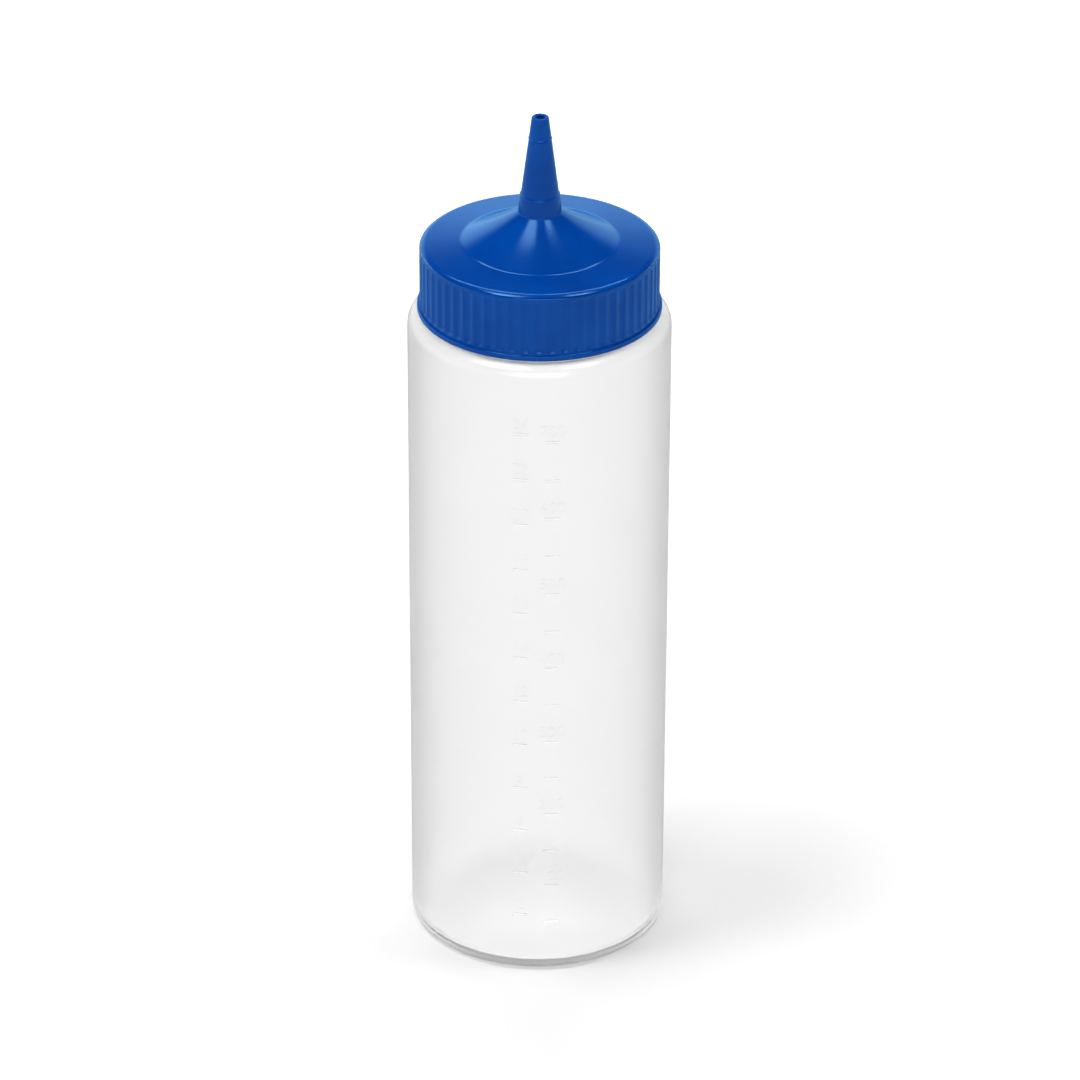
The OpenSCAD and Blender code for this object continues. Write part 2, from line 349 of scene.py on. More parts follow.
def add_node(tree, kind, *values, sockets=None, **settings):
    """Adds a node with its settings. Each value is a number, or a node or an output to link from."""
    made = tree.nodes.new(kind)
    for name, value in settings.items():
        setattr(made, name, value)
    for key, value in [*enumerate(values), *(sockets or {}).items()]:
        if isinstance(value, bpy.types.Node):
            value = value.outputs[0]
        if isinstance(value, bpy.types.NodeSocket):
            tree.links.new(value, made.inputs[key])
        elif value is not None:
            made.inputs[key].default_value = value
    return made


def geometry_tree(name, inputs):
    """A new geometry tree with a geometry input, named inputs and one geometry output."""
    tree = bpy.data.node_groups.new(name, "GeometryNodeTree")
    tree.interface.new_socket("Geometry", in_out="INPUT", socket_type="NodeSocketGeometry")
    for title, kind in inputs.items():
        tree.interface.new_socket(title, in_out="INPUT", socket_type=f"NodeSocket{kind}")
    tree.interface.new_socket("Geometry", in_out="OUTPUT", socket_type="NodeSocketGeometry")
    return tree, add_node(tree, "NodeGroupInput").outputs


def end_tree(tree, geometry, material):
    """Ends a tree in plain geometry with its material."""
    real = add_node(tree, "GeometryNodeRealizeInstances", geometry)
    dressed = add_node(tree, "GeometryNodeSetMaterial", real, sockets={"Material": material})
    add_node(tree, "NodeGroupOutput", dressed)


def flute_tree():
    """Presses upright flutes into a round skirt. Each is hollow across, with a round end above and below."""
    tree, given = geometry_tree("Flutes", {
        "Count": "Int", "Depth": "Float", "Ridge": "Float", "Radius": "Float", "Foot": "Float",
        "Top": "Float", "End": "Float", "Material": "Material",
    })
    math = "ShaderNodeMath"
    place = add_node(tree, "ShaderNodeSeparateXYZ", add_node(tree, "GeometryNodeInputPosition"))
    x, y, z = place.outputs
    flat = add_node(tree, "ShaderNodeCombineXYZ", x, y, 0.0)
    distance = add_node(tree, "ShaderNodeVectorMath", flat, operation="LENGTH").outputs["Value"]
    outwards = add_node(tree, "ShaderNodeVectorMath", flat, operation="NORMALIZE")

    # Distance along the skirt from the middle of the nearest flute, as a share of half a flute
    along = add_node(tree, math, add_node(tree, math, y, x, operation="ARCTAN2"), given["Radius"],
                     operation="MULTIPLY")
    half_turn = add_node(tree, math, given["Radius"], pi, operation="MULTIPLY")
    half_step = add_node(tree, math, half_turn, given["Count"], operation="DIVIDE")
    aside = add_node(tree, math, along, half_step, operation="PINGPONG")
    half_flute = add_node(tree, math, given["Ridge"], -0.5, half_step, operation="MULTIPLY_ADD")
    across = add_node(tree, math, aside, half_flute, operation="DIVIDE")

    # Distance into the nearer rounded end, as a share of the end
    end_foot = add_node(tree, math, given["Top"], given["End"], operation="SUBTRACT")
    above = add_node(tree, math, z, end_foot, operation="SUBTRACT")
    end_top = add_node(tree, math, given["Foot"], given["End"], operation="ADD")
    below = add_node(tree, math, end_top, z, operation="SUBTRACT")
    deeper = add_node(tree, math, above, below, operation="MAXIMUM")
    into_end = add_node(tree, math, add_node(tree, math, deeper, given["End"], operation="DIVIDE"), 0.0,
                        operation="MAXIMUM")

    # A flute is a round hollow in both directions
    square = add_node(tree, math, across, 2.0, operation="POWER")
    both = add_node(tree, math, into_end, into_end, square, operation="MULTIPLY_ADD")
    hollow = add_node(tree, math, add_node(tree, math, 1.0, both, operation="SUBTRACT"), 0.0,
                      operation="MAXIMUM")
    relief = add_node(tree, math, hollow, given["Depth"], operation="MULTIPLY")
    near_wall = add_node(tree, math, given["Radius"], ON_WALL, operation="SUBTRACT")
    far_wall = add_node(tree, math, given["Radius"], ON_WALL, operation="ADD")
    on_wall = add_node(tree, math, distance, near_wall, operation="GREATER_THAN")
    off_flange = add_node(tree, math, distance, far_wall, operation="LESS_THAN")
    chosen = add_node(tree, math, on_wall, off_flange, operation="MULTIPLY")
    moved = add_node(tree, math, add_node(tree, math, relief, chosen, operation="MULTIPLY"), -1.0,
                     operation="MULTIPLY")
    shift = add_node(tree, "ShaderNodeVectorMath", outwards, sockets={"Scale": moved}, operation="SCALE")
    shaped = add_node(tree, "GeometryNodeSetPosition", given["Geometry"], sockets={"Offset": shift})
    end_tree(tree, shaped, given["Material"])
    return tree


def ridge_tree():
    """Bends a straight bar, 1 long in X and 1 wide in Y and Z, into the helical ridge of a thread."""
    tree, given = geometry_tree("Thread ridge", {
        "Wall radius": "Float", "Side": "Float", "Start": "Float", "Pitch": "Float", "Turns": "Float",
        "Height": "Float", "Root width": "Float", "Crest width": "Float", "Run-out": "Float",
        "Sink": "Float", "Material": "Material",
    })
    math = "ShaderNodeMath"
    place = add_node(tree, "ShaderNodeSeparateXYZ", add_node(tree, "GeometryNodeInputPosition"))
    along, across, outwards = place.outputs
    end_a = add_node(tree, math, given["Turns"], 2 * pi, operation="MULTIPLY")
    angle = add_node(tree, math, along, end_a, operation="MULTIPLY")

    # The ends run out over their angle
    left = add_node(tree, math, end_a, angle, operation="SUBTRACT")
    nearer = add_node(tree, math, angle, left, operation="MINIMUM")
    up = add_node(tree, "ShaderNodeMapRange", nearer, 0.0, given["Run-out"], 0.15, 1.0)

    # outwards is -0.5 at the foot and 0.5 at the crest
    share = add_node(tree, math, outwards, 0.5, operation="ADD")
    rise = add_node(tree, math, add_node(tree, math, given["Height"], given["Sink"], operation="ADD"), up,
                    operation="MULTIPLY")
    standing = add_node(tree, math, rise, share, operation="MULTIPLY")
    standing = add_node(tree, math, standing, given["Sink"], operation="SUBTRACT")
    radius = add_node(tree, math, standing, given["Side"], given["Wall radius"], operation="MULTIPLY_ADD")

    # The width shrinks evenly from the root to the crest, and grows as evenly under the root
    narrowing = add_node(tree, math, given["Crest width"], given["Root width"], operation="SUBTRACT")
    slope = add_node(tree, math, narrowing, given["Height"], operation="DIVIDE")
    width = add_node(tree, math, standing, slope, given["Root width"], operation="MULTIPLY_ADD")
    turn = add_node(tree, math, angle, 2 * pi, operation="DIVIDE")
    middle = add_node(tree, math, turn, given["Pitch"], given["Start"], operation="MULTIPLY_ADD")
    height = add_node(tree, math, across, width, middle, operation="MULTIPLY_ADD")

    right = add_node(tree, math, add_node(tree, math, angle, operation="COSINE"), radius,
                     operation="MULTIPLY")
    deep = add_node(tree, math, add_node(tree, math, angle, operation="SINE"), radius, operation="MULTIPLY")
    target = add_node(tree, "ShaderNodeCombineXYZ", right, deep, height)
    bent = add_node(tree, "GeometryNodeSetPosition", given["Geometry"], sockets={"Position": target})
    end_tree(tree, bent, given["Material"])
    return tree


def mark_tree():
    """Repeats one mark up a line, and bends them all round the wall at an angle from the front."""
    tree, given = geometry_tree("Scale marks", {
        "Count": "Int", "First": "Float", "Step": "Float", "Radius": "Float", "Angle": "Float",
        "Material": "Material",
    })
    math = "ShaderNodeMath"
    first = add_node(tree, "ShaderNodeCombineXYZ", 0.0, 0.0, given["First"])
    step = add_node(tree, "ShaderNodeCombineXYZ", 0.0, 0.0, given["Step"])
    line = add_node(tree, "GeometryNodeMeshLine",
                    sockets={"Count": given["Count"], "Start Location": first, "Offset": step})
    copies = add_node(tree, "GeometryNodeInstanceOnPoints", line, sockets={"Instance": given["Geometry"]})
    real = add_node(tree, "GeometryNodeRealizeInstances", copies)

    place = add_node(tree, "ShaderNodeSeparateXYZ", add_node(tree, "GeometryNodeInputPosition"))
    x, y, z = place.outputs
    turn = add_node(tree, math, x, given["Radius"], operation="DIVIDE")
    angle = add_node(tree, math, turn, given["Angle"], operation="ADD")
    radius = add_node(tree, math, given["Radius"], y, operation="SUBTRACT")
    right = add_node(tree, math, add_node(tree, math, angle, operation="SINE"), radius, operation="MULTIPLY")
    deep = add_node(tree, math, add_node(tree, math, angle, operation="COSINE"), radius,
                    operation="MULTIPLY")
    front = add_node(tree, math, deep, -1.0, operation="MULTIPLY")
    target = add_node(tree, "ShaderNodeCombineXYZ", right, front, z)
    bent = add_node(tree, "GeometryNodeSetPosition", real, sockets={"Position": target})
    end_tree(tree, bent, given["Material"])
    return tree


# Materials


def plastic_tree(name, dark, light, cloud_mm, rough, grain_mm, grain_depth_mm):
    """A material whose colour drifts in clouds, with a fine grain in its sheen. Returned with its nodes."""
    material = bpy.data.materials.new(name)
    material.use_nodes = True
    tree = material.node_tree
    tree.nodes.clear()
    where = add_node(tree, "ShaderNodeTexCoord").outputs["Object"]
    cloud = add_node(tree, "ShaderNodeTexNoise", sockets={
        "Vector": where, "Scale": 1 / (cloud_mm * MM), "Detail": 2.0, "Roughness": 0.5,
    })
    grain = add_node(tree, "ShaderNodeTexNoise", sockets={
        "Vector": where, "Scale": 1 / (grain_mm * MM), "Detail": 3.0, "Roughness": 0.6,
    })
    share = add_node(tree, "ShaderNodeMapRange", cloud, 0.35, 0.65, 0.0, 1.0)
    colour = add_node(tree, "ShaderNodeMix", share, data_type="RGBA", sockets={6: dark, 7: light})
    sheen = add_node(tree, "ShaderNodeMapRange", grain, 0.3, 0.7, *rough)
    bump = add_node(tree, "ShaderNodeBump", sockets={
        "Height": grain, "Strength": 1.0, "Distance": grain_depth_mm * MM,
    })
    shader = add_node(tree, "ShaderNodeBsdfPrincipled", sockets={
        "Base Color": colour.outputs[2], "Roughness": sheen, "Normal": bump,
    })
    return material, shader, sheen, bump


def bottle_polyethylene(colours, name, clear, rough, grain_depth_mm):
    """Natural low-density polyethylene, blow-moulded and unpigmented.

    Most light passes through it, and its own crystals make it a little milky.
    """
    cloud_mm, grain_mm = 30, 0.8
    material, shader, _, _ = plastic_tree(
        name, colours.bottle_cloud, colours.bottle, cloud_mm, rough, grain_mm, grain_depth_mm
    )
    add_node(material.node_tree, "ShaderNodeOutputMaterial", shader)
    shader.inputs["IOR"].default_value = 1.51
    shader.inputs["Transmission Weight"].default_value = clear
    shader.inputs["Subsurface Weight"].default_value = 0.4
    shader.inputs["Subsurface Scale"].default_value = 1.5 * MM
    shader.inputs["Subsurface Radius"].default_value = (1.0, 1.0, 1.0)
    return material


def cap_polyethylene(colours):
    """Blue polyethylene, injection-moulded in a polished mould.

    An even, deep colour with a soft gloss, and faint clouds where the plastic flowed.
    """
    cloud_mm, grain_mm, grain_depth_mm = 14, 0.5, 0.005
    material, shader, sheen, bump = plastic_tree(
        "Blue polyethylene, injection-moulded", colours.cap_flow, colours.cap,
        cloud_mm, (0.12, 0.17), grain_mm, grain_depth_mm,
    )
    # The skin is a little translucent, so what it mirrors comes back blue
    shader.inputs["Specular IOR Level"].default_value = 0.0
    tree = material.node_tree
    skin_ior = 1.44
    facing = add_node(tree, "ShaderNodeFresnel", skin_ior, bump)
    gloss = add_node(tree, "ShaderNodeBsdfAnisotropic", colours.cap_gloss, sheen, sockets={"Normal": bump})
    skin = add_node(tree, "ShaderNodeMixShader", facing, shader, gloss)
    add_node(tree, "ShaderNodeOutputMaterial", skin)
    return material


def ring_silicone(colours):
    """Moulded silicone: soft, a little cloudy, with a dull sheen."""
    cloud_mm, grain_mm, grain_depth_mm = 6, 0.4, 0.01
    material, shader, _, _ = plastic_tree(
        "Silicone, moulded", colours.ring_cloud, colours.ring,
        cloud_mm, (0.45, 0.6), grain_mm, grain_depth_mm,
    )
    add_node(material.node_tree, "ShaderNodeOutputMaterial", shader)
    shader.inputs["IOR"].default_value = 1.41
    return material


# Pieces


def even(n):
    """Angles of a ring with n vertices."""
    return [2 * pi * i / n for i in range(n)]


def ridge_mesh(thread, wall_r, side, start, material):
    """The closed ridge of a thread on a round wall. side is 1 on a shaft and -1 in a hole."""
    steps_a_turn = 120
    steps = round(thread.turns * steps_a_turn)
    vertices = [
        (i / steps, y, z)
        for i in range(steps + 1)
        for y, z in ((-0.5, -0.5), (-0.5, 0.5), (0.5, 0.5), (0.5, -0.5))
    ]
    faces = [(0, 1, 2, 3), tuple(4 * steps + k for k in (3, 2, 1, 0))]
    for i in range(steps):
        for k in range(4):
            a, b = 4 * i + k, 4 * i + (k + 1) % 4
            faces.append((a, a + 4, b + 4, b))
    bar = bpy.data.meshes.new("bar")
    bar.from_pydata(vertices, [], faces)
    bent = through_tree(bar, ridge_tree(), {
        "Wall radius": wall_r, "Side": float(side), "Start": start, "Pitch": thread.pitch,
        "Turns": thread.turns, "Height": thread.height, "Root width": thread.root_w,
        "Crest width": thread.crest_w, "Run-out": thread.fade_a, "Sink": RIDGE_SINK, "Material": material,
    })
    return joined([bent])


def mark_mesh(s):
    """One mark with rounded ends, its back sunk into the wall, cut across into short lengths."""
    round_r = s.mark_t / 2
    half = s.mark_w / 2 - round_r
    straight = [half * k / 4 for k in range(-4, 5)]
    ends = [half + round_r * sin(radians(a)) for a in (25, 50, 70, 85)]
    places = [-x for x in reversed(ends)] + straight + ends
    shape = bmesh.new()
    sections = []
    for x in places:
        past = max(0.0, abs(x) - half)
        w = (round_r ** 2 - past ** 2) ** 0.5
        corners = [(MARK_SINK, w), (-s.mark_h, w), (-s.mark_h, -w), (MARK_SINK, -w)]
        sections.append([shape.verts.new((x, y, z)) for y, z in corners])
    for near, far in zip(sections, sections[1:]):
        for k in range(4):
            n = (k + 1) % 4
            shape.faces.new((near[k], near[n], far[n], far[k]))
    shape.faces.new(sections[0])
    shape.faces.new(sections[-1])
    bmesh.ops.recalc_face_normals(shape, faces=shape.faces)
    made = bpy.data.meshes.new("mark")
    shape.to_mesh(made)
    shape.free()
    return made


def number_mesh(words, low_z, angle, wall_r, s):
    """A number in plain relief on the wall, centred on an angle from the front."""
    letters = bpy.data.curves.new("number", "FONT")
    letters.body = words
    letters.align_x = "CENTER"
    letters.size = 1.0
    letters.extrude = 0.5
    letters.resolution_u = 3
    thing = bpy.data.objects.new("number", letters)
    bpy.context.scene.collection.objects.link(thing)
    bpy.context.view_layer.update()
    mesh = finished(thing)
    bpy.data.curves.remove(letters)
    tall = max(v.co.y for v in mesh.vertices)
    scale = s.digit_h / tall
    for v in mesh.vertices:
        at = angle + v.co.x * scale / wall_r
        r = wall_r + (s.mark_h if v.co.z > 0 else -MARK_SINK)
        v.co = (r * sin(at), -r * cos(at), low_z + v.co.y * scale)
    return mesh


def scale_meshes(s, wall_r, material):
    """The marks and numbers of both scales."""
    tree = mark_tree()
    made = []
    metric = (s.metric_n, s.metric_pitch, s.metric_a, 50, 2)
    ounces = (s.ounce_n, s.ounce_pitch, s.ounce_a, 2, 1)
    for count, step, angle, value, every in (metric, ounces):
        made.append(through_tree(mark_mesh(s), tree, {
            "Count": count, "First": s.zero_z + step, "Step": step, "Radius": wall_r, "Angle": angle,
            "Material": material,
        }))
        for i in range(every, count + 1, every):
            low_z = s.zero_z + step * i + s.digit_gap
            made.append(number_mesh(str(value * i), low_z, angle, wall_r, s))
    return made


class BOTTLE_OT_shell(Operator):
    """Makes the bottle with its neck, thread, hollow base and raised scales"""
    bl_idname = "squeeze_bottle.shell"
    bl_label = "Bottle"

    def execute(self, context):
        s = context.scene.squeeze_bottle
        thread = context.scene.squeeze_thread
        colours = context.scene.squeeze_finishes
        # The sand-blasted mould leaves the outside satin.
        # The inside keeps the smooth skin of the blown tube.
        material = bottle_polyethylene(colours, "Natural LDPE, mould side", 0.94, (0.28, 0.33), 0.003)
        inner = bottle_polyethylene(colours, "Natural LDPE, inner skin", 1.0, (0.06, 0.1), 0.001)
        dish_r = s.body_r - s.base_r - s.landing_w
        sphere_r = (dish_r ** 2 + s.push_up_h ** 2) / (2 * s.push_up_h)
        sphere_z = s.push_up_h - sphere_r
        floor_r = sphere_r + s.base_wall
        floor_edge_r = (floor_r ** 2 - (s.base_wall - sphere_z) ** 2) ** 0.5
        cavity_r = s.body_r - s.body_wall
        cavity_z = s.shoulder_z - s.body_wall
        neck_r = s.body_r - s.shoulder_w
        mouth_r = neck_r - s.neck_wall
        base_steps, wall_steps = 10, 32

        def bowl(edge_r, ball_r):
            """Points of a round hollow from its middle out to its edge."""
            across = [edge_r * i / base_steps for i in range(base_steps)]
            return [(r, sphere_z + (ball_r ** 2 - r ** 2) ** 0.5, 0) for r in across]

        straight_h = s.shoulder_z - s.shoulder_r - s.base_r
        wall = [(s.body_r, s.base_r + straight_h * i / wall_steps, 0) for i in range(1, wall_steps)]
        dish = bowl(dish_r, sphere_r)
        floor = bowl(floor_edge_r, floor_r)[::-1]
        outline = rounded([
            *dish,
            (dish_r, 0.0, s.edge_r),
            (s.body_r, 0.0, s.base_r),
            *wall,
            (s.body_r, s.shoulder_z, s.shoulder_r),
            (neck_r, s.shoulder_z, s.neck_fillet),
            (neck_r, s.rim_z, s.edge_r),
            (mouth_r, s.rim_z, s.edge_r),
            (mouth_r, cavity_z, s.edge_r),
            (cavity_r, cavity_z, s.shoulder_r - s.body_wall),
            (cavity_r, s.base_wall, s.base_r),
            (floor_edge_r, s.base_wall, s.edge_r),
            *floor,
        ])
        shell = lathe(outline, lambda r, z: even(180))
        # A face that looks at the nearest point of the cavity's axis is part of the inner skin
        axis_low_z, axis_high_z = 20 * MM, cavity_z - 8 * MM
        for face in shell.polygons:
            height = min(max(face.center.z, axis_low_z), axis_high_z)
            face.material_index = int(face.normal.dot(Vector((0, 0, height)) - face.center) > 0)
        start = s.shoulder_z + thread.low
        raised = scale_meshes(context.scene.squeeze_scales, s.body_r, material)
        raised.append(ridge_mesh(thread, neck_r, 1, start, material))
        shell.materials.append(material)
        shell.materials.append(inner)
        shell = united(shell, joined(raised))
        piece("bottle_shell", shell, "bottle", "bottle_polyethylene", "bottle")
        round_wall(shell, s.body_r)
        return {"FINISHED"}


class BOTTLE_OT_sealing_ring(Operator):
    """Makes the flat silicone ring inside the cap"""
    bl_idname = "squeeze_bottle.sealing_ring"
    bl_label = "Sealing ring"

    def execute(self, context):
        cap = context.scene.squeeze_cap
        low, high = RING_LOW.z, RING_HIGH.z
        play = 0.3 * MM
        edge = 0.3 * MM
        inner, outer = cap.plug_r + play, RING_HIGH.x
        outline = rounded([
            (inner, low, edge), (outer, low, edge), (outer, high, edge), (inner, high, edge)
        ])
        mesh = lathe(outline, lambda r, z: even(144), closed=True)
        mesh.materials.append(ring_silicone(context.scene.squeeze_finishes))
        piece("seal_ring", mesh, "sealing_ring", "ring_silicone", "sealing_ring")
        return {"FINISHED"}


class BOTTLE_OT_screw_cap(Operator):
    """Makes the screw cap with its flutes, dome, nozzle and inner thread"""
    bl_idname = "squeeze_bottle.screw_cap"
    bl_label = "Screw cap"

    def execute(self, context):
        s = context.scene.squeeze_cap
        thread = context.scene.squeeze_thread
        material = cap_polyethylene(context.scene.squeeze_finishes)
        flange_z = s.low_z + s.flange_h
        dome_a = atan2(s.collar_z - s.crease_z, s.dome_r - s.collar_r)
        dome_in_r = s.dome_r - s.wall * sin(dome_a)
        dome_in_z = s.crease_z - s.wall * cos(dome_a)
        plug_in_r = s.plug_r - s.plug_wall
        deck_fall = (s.crease_z - s.edge_z) / (s.skirt_r - s.dome_r)
        cone_fall = (s.cone_r - s.tip_r) / (s.tip_z - s.cone_z)
        bead_r = s.cone_r - cone_fall * (s.bead_z - s.cone_z)
        bead_half = 0.35 * MM
        chamfer = 0.35 * MM
        deck_edge = 0.9 * MM
        collar_round = 0.45 * MM
        straight_bore = 4 * MM

        # Rows of points up the skirt, close together where the flutes' ends curve
        low_end_z = s.flute_z + s.flute_end
        high_end_z = s.flute_top_z - s.flute_end
        rows = [s.flute_z + s.flute_end * i / 10 for i in range(11)]
        rows += [low_end_z + (high_end_z - low_end_z) * i / 5 for i in range(1, 5)]
        rows += [high_end_z + s.flute_end * i / 10 for i in range(11)]

        # The dome's slope, which dips a little in its middle
        slope = Vector((s.collar_r - s.dome_r, s.collar_z - s.crease_z))
        dip = Vector((-slope.y, slope.x)).normalized() * s.dome_dip
        dome = [
            Vector((s.dome_r, s.crease_z)) + slope * i / 10 + dip * 4 * i / 10 * (1 - i / 10)
            for i in range(1, 10)
        ]

        # Each corner's last number is its rounding, largest where the deck's edge and crease catch the light
        outline = rounded([
            (s.skirt_in_r, s.low_z, 0.3 * MM),
            (s.flange_r, s.low_z, 0.5 * MM),
            (s.flange_r, flange_z, 0.5 * MM),
            (s.skirt_r, flange_z, 0.1 * MM),
            *[(s.skirt_r, z, 0) for z in rows],
            (s.skirt_r, s.edge_z - deck_edge, 0.8 * MM),
            (s.skirt_r - deck_edge, s.edge_z, 2.4 * MM),
            (s.dome_r, s.crease_z, 2.6 * MM),
            *[(*point, 0) for point in dome],
            (s.collar_r, s.collar_z, 0.3 * MM),
            (s.collar_top_r, s.cone_z - collar_round, 0.7 * MM),
            (s.cone_r + 0.06 * MM, s.cone_z, 0.15 * MM),
            (bead_r + cone_fall * bead_half, s.bead_z - bead_half, 0.04 * MM),
            (bead_r + s.bead_out, s.bead_z - bead_half / 3, 0.1 * MM),
            (bead_r + s.bead_out, s.bead_z + bead_half / 3, 0.1 * MM),
            (bead_r - cone_fall * bead_half, s.bead_z + bead_half, 0.04 * MM),
            (s.tip_r, s.tip_z, 0.5 * MM),
            (s.outlet_r + chamfer, s.tip_z, 0.2 * MM),
            (s.outlet_r, s.tip_z - chamfer, 0.1 * MM),
            (s.outlet_r, s.tip_z - straight_bore, 0.5 * MM),
            (s.bore_r, s.cone_z, 1 * MM),
            (s.bore_r, dome_in_z + (dome_in_r - s.bore_r) * tan(dome_a), 0.5 * MM),
            (dome_in_r, dome_in_z, 0.5 * MM),
            (plug_in_r, dome_in_z - deck_fall * (plug_in_r - s.dome_r), 0.5 * MM),
            (plug_in_r, s.land_z - s.plug_h, 0.3 * MM),
            (s.plug_r, s.land_z - s.plug_h, 0.5 * MM),
            (s.plug_r, s.land_z, 0.2 * MM),
            (s.skirt_in_r, s.land_z, 0.2 * MM),
        ])

        # Twelve vertices a flute: two bound its ridge, and every third one carries on past the flutes
        step = 2 * pi / s.flute_n
        ridge = s.ridge_w / 2 / s.skirt_r
        marks = [0, ridge, ridge + (step / 4 - ridge) * 0.45, step / 4, step / 3, step * 5 / 12]
        turns = marks + [step / 2] + [step - m for m in reversed(marks[1:])]
        fine = [step * (i + 0.5) + m for i in range(s.flute_n) for m in turns]
        plain = fine[::3]
        slack = 0.01 * MM

        def angles(r, z):
            fluted = s.flute_z - slack < z < s.flute_top_z + slack
            return fine if r > s.skirt_r - slack and fluted else plain

        shell = through_tree(lathe(outline, angles, closed=True), flute_tree(), {
            "Count": s.flute_n, "Depth": s.flute_h, "Ridge": s.ridge_w, "Radius": s.skirt_r,
            "Foot": s.flute_z, "Top": s.flute_top_z, "End": s.flute_end, "Material": material,
        })
        start = context.scene.squeeze_bottle.shoulder_z + thread.low - thread.drop
        shell = united(shell, ridge_mesh(thread, s.skirt_in_r, -1, start, material))
        shell.materials.clear()
        shell.materials.append(material)
        piece("cap_shell", shell, "screw_cap", "cap_polyethylene", "screw_cap")
        return {"FINISHED"}


# Stage


# Each lamp's name, place in metres, tilt and turn in degrees, width and depth in metres, and watts
LAMPS = (
    ("left overhead softbox", (-0.41, -0.07, 1.5), 0, -24, 0.44, 0.5, 7),
    ("left overhead softbox's core", (-0.45, -0.17, 1.49), 0, -24, 0.24, 0.24, 2.6),
    ("right overhead softbox", (0.45, -0.02, 1.5), 0, 24, 0.34, 0.3, 3),
    ("right overhead softbox's core", (0.46, -0.05, 1.49), 0, 24, 0.24, 0.2, 1.8),
    ("back strip", (0, 0.75, 1.2), -37, 0, 1.0, 0.11, 5),
    ("front softbox", (0, -2.6, 1.5), 62, 0, 2.4, 1.6, 44),
)
CAMERA_PLACE = (0.000375, -1.4114, 0.9068)
CAMERA_DOWN_DEGREES = 29.016
CAMERA_ROLL_DEGREES = 0.218
CAMERA_LENS_MM = 185.8


def lamp(name, place, tilt, turn, wide, deep, watts):
    """A soft rectangular lamp that faces down, tilted towards the back and then turned."""
    light = bpy.data.lights.new(name, "AREA")
    light.shape = "RECTANGLE"
    light.size = wide
    light.size_y = deep
    light.energy = watts
    made = bpy.data.objects.new(name, light)
    made.location = place
    made.rotation_euler = (radians(tilt), 0.0, radians(turn))
    bpy.context.scene.collection.objects.link(made)


def stage_floor(colours):
    """A wide matt floor. The camera sees it lifted to white with its shadow, gloss sees plain white."""
    reach = 4
    corners = [(-reach, -reach, 0), (reach, -reach, 0), (reach, reach, 0), (-reach, reach, 0)]
    mesh = bpy.data.meshes.new("floor")
    mesh.from_pydata(corners, [], [(0, 1, 2, 3)])
    material = bpy.data.materials.new("Matt white sweep")
    material.use_nodes = True
    tree = material.node_tree
    tree.nodes.clear()
    where = add_node(tree, "ShaderNodeTexCoord").outputs["Object"]
    away = add_node(tree, "ShaderNodeVectorMath", where, operation="LENGTH").outputs["Value"]
    # From the bottle's foot outwards in metres, how much of the white is added
    lift = add_node(tree, "ShaderNodeMapRange", away, 0.2, 1.0, 0.05, 1.0, interpolation_type="SMOOTHSTEP")
    path = add_node(tree, "ShaderNodeLightPath").outputs
    strength = add_node(tree, "ShaderNodeMath", lift, path["Is Camera Ray"], operation="MULTIPLY")
    seen = add_node(tree, "ShaderNodeMath", path["Is Glossy Ray"], path["Is Transmission Ray"],
                    operation="MAXIMUM")
    matt = add_node(tree, "ShaderNodeBsdfDiffuse", colours.floor)
    glow = add_node(tree, "ShaderNodeEmission", (1, 1, 1, 1), strength)
    lit = add_node(tree, "ShaderNodeAddShader", matt, glow)
    white = add_node(tree, "ShaderNodeEmission", (1, 1, 1, 1), 1.0)
    both = add_node(tree, "ShaderNodeMixShader", seen, lit, white)
    add_node(tree, "ShaderNodeOutputMaterial", both)
    mesh.materials.append(material)
    made = bpy.data.objects.new("floor", mesh)
    bpy.context.scene.collection.objects.link(made)


def stage_world():
    """A studio with a white sweep at the back and the sides, and a dark ceiling and front."""
    world = bpy.data.worlds.new("studio")
    world.use_nodes = True
    tree = world.node_tree
    tree.nodes.clear()
    way = add_node(tree, "ShaderNodeTexCoord").outputs["Generated"]
    across, deep, up = add_node(tree, "ShaderNodeSeparateXYZ", way).outputs
    soft = {"interpolation_type": "SMOOTHSTEP"}
    low = add_node(tree, "ShaderNodeMapRange", up, 0.29, 0.54, 2.3, 0.03, **soft)
    behind = add_node(tree, "ShaderNodeMapRange", deep, -0.75, -0.2, 0.1, 1.0, **soft)
    left = add_node(tree, "ShaderNodeMapRange", across, -0.3, 0.5, 1.0, 0.7, **soft)
    level = add_node(tree, "ShaderNodeMath", low, behind, operation="MULTIPLY")
    level = add_node(tree, "ShaderNodeMath", level, left, operation="MULTIPLY")
    sky = add_node(tree, "ShaderNodeBackground", (1, 1, 1, 1), level)
    white = add_node(tree, "ShaderNodeBackground", (1, 1, 1, 1), 1.0)
    path = add_node(tree, "ShaderNodeLightPath").outputs
    seen = add_node(tree, "ShaderNodeMath", path["Is Camera Ray"], path["Is Transmission Ray"],
                    operation="MAXIMUM")
    add_node(tree, "ShaderNodeOutputWorld", add_node(tree, "ShaderNodeMixShader", seen, sky, white))
    bpy.context.scene.world = world


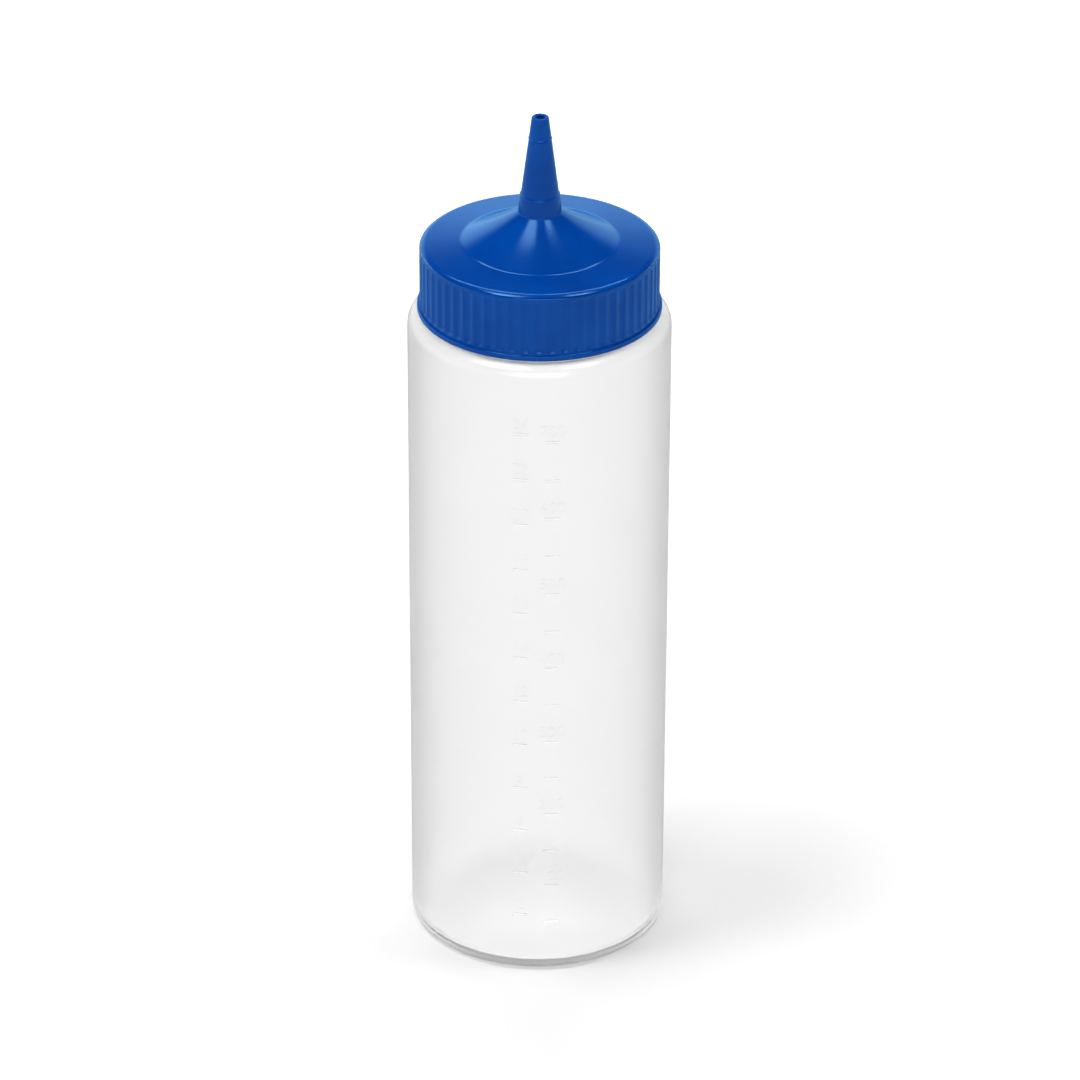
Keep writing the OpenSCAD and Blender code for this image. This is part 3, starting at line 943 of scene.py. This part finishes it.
class BOTTLE_OT_stage(Operator):
    """Makes the floor, the studio light and the camera"""
    bl_idname = "squeeze_bottle.stage"
    bl_label = "Stage"

    def execute(self, context):
        scene = context.scene
        stage_floor(scene.squeeze_finishes)
        stage_world()
        for each in LAMPS:
            lamp(*each)

        camera = bpy.data.cameras.new("camera")
        camera.sensor_width = 36
        camera.lens = CAMERA_LENS_MM
        camera.clip_end = 20
        made = bpy.data.objects.new("camera", camera)
        down = Matrix.Rotation(radians(90 - CAMERA_DOWN_DEGREES), 4, "X")
        roll = Matrix.Rotation(radians(CAMERA_ROLL_DEGREES), 4, "Z")
        made.matrix_world = Matrix.Translation(CAMERA_PLACE) @ down @ roll
        scene.collection.objects.link(made)
        scene.camera = made
        scene.view_settings.view_transform = "Standard"
        return {"FINISHED"}


class BOTTLE_PT_pieces(Panel):
    """Lists the pieces, their sizes and their colours"""
    bl_idname = "BOTTLE_PT_pieces"
    bl_label = "Squeeze bottle"
    bl_space_type = "VIEW_3D"
    bl_region_type = "UI"
    bl_category = "Squeeze bottle"

    def draw(self, context):
        for operator in OPERATORS:
            self.layout.operator(operator.bl_idname)
        for name, group in GROUPS.items():
            box = self.layout.box()
            box.label(text=group.__name__)
            for prop in group.__annotations__:
                box.prop(getattr(context.scene, name), prop)


OPERATORS = (BOTTLE_OT_shell, BOTTLE_OT_sealing_ring, BOTTLE_OT_screw_cap, BOTTLE_OT_stage)
GROUPS = {
    "squeeze_bottle": BottleSizes,
    "squeeze_thread": ThreadSizes,
    "squeeze_scales": ScaleSizes,
    "squeeze_cap": CapSizes,
    "squeeze_finishes": Finishes,
}


def register():
    """Registers the groups, operators and panel, and ties the groups to the scene."""
    for kind in (*GROUPS.values(), *OPERATORS, BOTTLE_PT_pieces):
        bpy.utils.register_class(kind)
    for name, group in GROUPS.items():
        setattr(bpy.types.Scene, name, PointerProperty(type=group))


def unregister():
    """Undoes register."""
    for name in GROUPS:
        delattr(bpy.types.Scene, name)
    for kind in (BOTTLE_PT_pieces, *reversed(OPERATORS), *reversed(GROUPS.values())):
        bpy.utils.unregister_class(kind)


def main():
    """Makes the whole scene."""
    register()
    bpy.ops.squeeze_bottle.shell()
    bpy.ops.squeeze_bottle.sealing_ring()
    bpy.ops.squeeze_bottle.screw_cap()
    bpy.ops.squeeze_bottle.stage()


if __name__ == "__main__":
    main()
